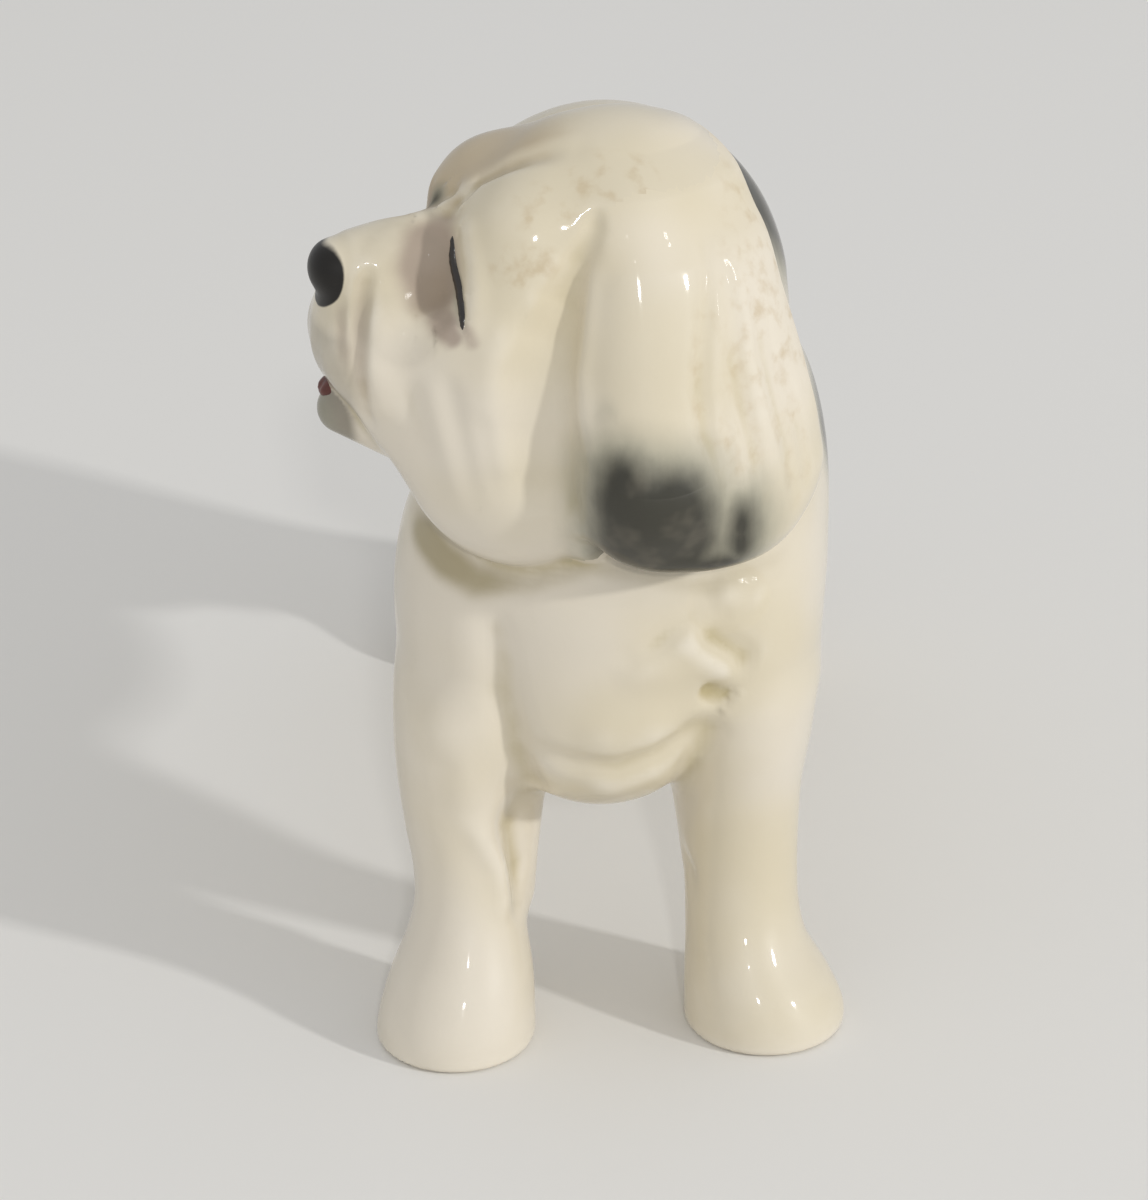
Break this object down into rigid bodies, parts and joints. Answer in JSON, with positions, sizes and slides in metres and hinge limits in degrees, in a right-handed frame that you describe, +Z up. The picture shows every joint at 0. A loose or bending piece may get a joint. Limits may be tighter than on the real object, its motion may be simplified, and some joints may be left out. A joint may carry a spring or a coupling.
{
  "type": "dog figurine",
  "caption": "Glazed ceramic spaniel figurine standing on four legs, head turned to its right, long hanging ears, dark airbrushed patches.",
  "frame": {"origin": "centre of the figure's footprint box, on the plane that the soles rest on", "axes": "+Z up, the body faces -Y, +X is the dog's left side, and the head looks towards -X"},
  "size_m": [0.0606, 0.1464, 0.1103],
  "materials": {
    "cream_glaze": "glossy",
    "grey_glaze": "glossy",
    "red_glaze": "glossy",
    "black_glaze": "glossy"
  },
  "bodies": {
    "root": {"trunk": "cream_glaze", "head": "cream_glaze", "lower_jaw": "grey_glaze", "tongue": "red_glaze", "nose": "black_glaze", "left_eye": "black_glaze", "right_eye": "black_glaze", "left_ear": "cream_glaze", "right_ear": "cream_glaze", "front_left_leg": "cream_glaze", "front_right_leg": "cream_glaze", "hind_left_leg": "cream_glaze", "hind_right_leg": "cream_glaze", "tail": "cream_glaze"}
  },
  "joints": []
}
